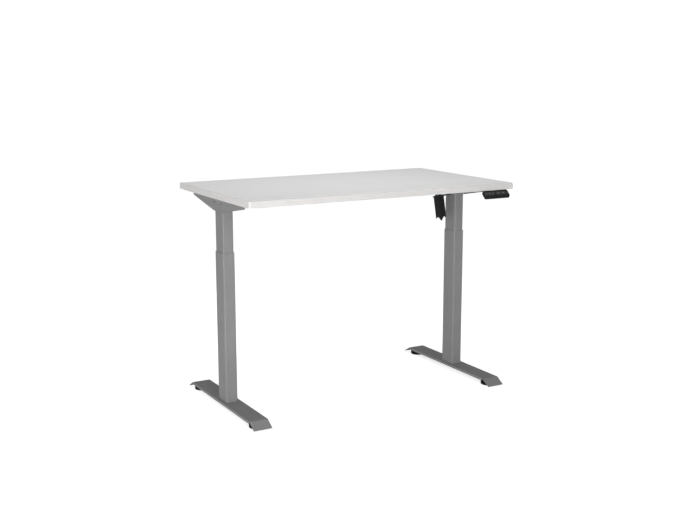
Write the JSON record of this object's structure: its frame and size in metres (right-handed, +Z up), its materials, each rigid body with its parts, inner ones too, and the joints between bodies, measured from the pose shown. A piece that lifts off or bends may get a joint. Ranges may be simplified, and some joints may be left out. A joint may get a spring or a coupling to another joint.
{
  "type": "height adjustable standing desk",
  "caption": "Height-adjustable desk: pale rectangular top on telescoping legs with folded steel feet, a motor and cross shaft under the top, and a handset with keys at the front edge.",
  "frame": {"origin": "on the floor, under the middle of the footprint of the desktop and its handset", "axes": "+X along the desktop to the right of the person who sits at it, +Y from that person to the back, +Z up"},
  "size_m": [1.2, 0.72, 0.879],
  "materials": {
    "desktop_laminate": "particle board faced with a pale matt melamine laminate",
    "edge_band": "plastic edge band, satin",
    "grey_powder_coat": "grey powder coat on steel, fine texture",
    "black_powder_coat": "black powder coat, satin",
    "black_plastic": "moulded black plastic, fine grain",
    "pale_plastic": "acetal, satin",
    "zinc_plated_steel": "zinc plated steel",
    "cast_aluminium": "die-cast aluminium",
    "machined_steel": "machined steel",
    "bronze": "machined bronze",
    "circuit_board": "glass-fibre board with solder mask",
    "black_nylon": "black nylon pad",
    "key_plastic": "black plastic key caps, satin"
  },
  "bodies": {
    "base_left": {"foot_left": "grey_powder_coat", "outer_tube_left": "grey_powder_coat", "nut_post_left": "machined_steel", "lead_nut_left": "bronze", "guide_bush_left": "pale_plastic", "foot_bolts_left": "zinc_plated_steel"},
    "base_right": {"foot_right": "grey_powder_coat", "outer_tube_right": "grey_powder_coat", "nut_post_right": "machined_steel", "lead_nut_right": "bronze", "guide_bush_right": "pale_plastic", "foot_bolts_right": "zinc_plated_steel"},
    "lift": {"desktop_board": "desktop_laminate", "edge_band": "edge_band", "side_bracket_left": "grey_powder_coat", "side_bracket_right": "grey_powder_coat", "head_plate_left": "grey_powder_coat", "head_plate_right": "grey_powder_coat", "rail_front": "grey_powder_coat", "rail_rear": "grey_powder_coat", "inner_tube_left": "grey_powder_coat", "inner_tube_right": "grey_powder_coat", "slide_shoes": "pale_plastic", "gearbox_housing_left": "cast_aluminium", "gearbox_housing_right": "cast_aluminium", "spindle_bearings": "machined_steel", "shaft_bearings": "machined_steel", "frame_screws": "zinc_plated_steel", "desktop_screws": "zinc_plated_steel", "motor_gearcase": "black_powder_coat", "motor_cover": "black_plastic", "motor_can": "zinc_plated_steel", "motor_bracket": "black_powder_coat", "control_box_base": "black_plastic", "control_box_lid": "black_plastic", "control_board": "circuit_board", "mains_inlet": "black_plastic", "handset_case": "black_plastic", "handset_base": "black_plastic", "handset_board": "circuit_board"},
    "lead_screw_left": {"spindle_left": "machined_steel", "spindle_gear_left": "machined_steel"},
    "lead_screw_right": {"spindle_right": "machined_steel", "spindle_gear_right": "machined_steel"},
    "cross_shaft": {"drive_shaft": "zinc_plated_steel", "shaft_gear_left": "machined_steel", "shaft_gear_right": "machined_steel", "worm_wheel": "bronze"},
    "motor_rotor": {"worm": "machined_steel", "armature": "machined_steel"},
    "levelling_foot_left_front": {"levelling_foot_left_front": "black_nylon"},
    "levelling_foot_left_rear": {"levelling_foot_left_rear": "black_nylon"},
    "levelling_foot_right_front": {"levelling_foot_right_front": "black_nylon"},
    "levelling_foot_right_rear": {"levelling_foot_right_rear": "black_nylon"},
    "button_preset_1": {"button_preset_1": "key_plastic"},
    "button_preset_2": {"button_preset_2": "key_plastic"},
    "button_preset_3": {"button_preset_3": "key_plastic"},
    "button_up": {"button_up": "key_plastic"},
    "button_down": {"button_down": "key_plastic"},
    "button_memory": {"button_memory": "key_plastic"}
  },
  "joints": [
    {"name": "height", "type": "slide", "parent": "base_left", "child": "lift", "axis": [0, 0, 1], "range_m": [-0.145, 0.32]},
    {"name": "right_leg", "type": "slide", "parent": "lift", "child": "base_right", "axis": [0, 0, -1], "range_m": [-0.145, 0.32]},
    {"name": "lead_screw_left_spin", "type": "hinge", "parent": "lift", "child": "lead_screw_left", "pos_m": [-0.55, 0.01, 0.832], "axis": [0, 0, 1], "continuous": true},
    {"name": "lead_screw_right_spin", "type": "hinge", "parent": "lift", "child": "lead_screw_right", "pos_m": [0.55, 0.01, 0.832], "axis": [0, 0, 1], "continuous": true},
    {"name": "cross_shaft_spin", "type": "hinge", "parent": "lift", "child": "cross_shaft", "pos_m": [0, 0.01, 0.832], "axis": [1, 0, 0], "continuous": true},
    {"name": "motor_spin", "type": "hinge", "parent": "lift", "child": "motor_rotor", "pos_m": [0.472, 0.02799, 0.82768], "axis": [0, 0.2334, 0.9724], "continuous": true},
    {"name": "level_left_front", "type": "slide", "parent": "base_left", "child": "levelling_foot_left_front", "axis": [0, 0, 1], "range_m": [-0.008, 0]},
    {"name": "level_left_rear", "type": "slide", "parent": "base_left", "child": "levelling_foot_left_rear", "axis": [0, 0, 1], "range_m": [-0.008, 0]},
    {"name": "level_right_front", "type": "slide", "parent": "base_right", "child": "levelling_foot_right_front", "axis": [0, 0, 1], "range_m": [-0.008, 0]},
    {"name": "level_right_rear", "type": "slide", "parent": "base_right", "child": "levelling_foot_right_rear", "axis": [0, 0, 1], "range_m": [-0.008, 0]},
    {"name": "press_preset_1", "type": "slide", "parent": "lift", "child": "button_preset_1", "axis": [0, 0.725, -0.6887], "range_m": [0, 0.0015], "stiffness_N_per_m": 600, "springref_m": -0.0005},
    {"name": "press_preset_2", "type": "slide", "parent": "lift", "child": "button_preset_2", "axis": [0, 0.725, -0.6887], "range_m": [0, 0.0015], "stiffness_N_per_m": 600, "springref_m": -0.0005},
    {"name": "press_preset_3", "type": "slide", "parent": "lift", "child": "button_preset_3", "axis": [0, 0.725, -0.6887], "range_m": [0, 0.0015], "stiffness_N_per_m": 600, "springref_m": -0.0005},
    {"name": "press_up", "type": "slide", "parent": "lift", "child": "button_up", "axis": [0, 0.725, -0.6887], "range_m": [0, 0.0015], "stiffness_N_per_m": 600, "springref_m": -0.0005},
    {"name": "press_down", "type": "slide", "parent": "lift", "child": "button_down", "axis": [0, 0.725, -0.6887], "range_m": [0, 0.0015], "stiffness_N_per_m": 600, "springref_m": -0.0005},
    {"name": "press_memory", "type": "slide", "parent": "lift", "child": "button_memory", "axis": [0, 0.725, -0.6887], "range_m": [0, 0.0015], "stiffness_N_per_m": 600, "springref_m": -0.0005}
  ],
  "couplings": [
    {"joint": "right_leg", "follows": "height", "ratio": 1},
    {"joint": "cross_shaft_spin", "follows": "height", "rad_per_m": 785.4},
    {"joint": "lead_screw_left_spin", "follows": "height", "rad_per_m": 785.4},
    {"joint": "lead_screw_right_spin", "follows": "height", "rad_per_m": -785.4},
    {"joint": "motor_spin", "follows": "height", "rad_per_m": -7854}
  ]
}
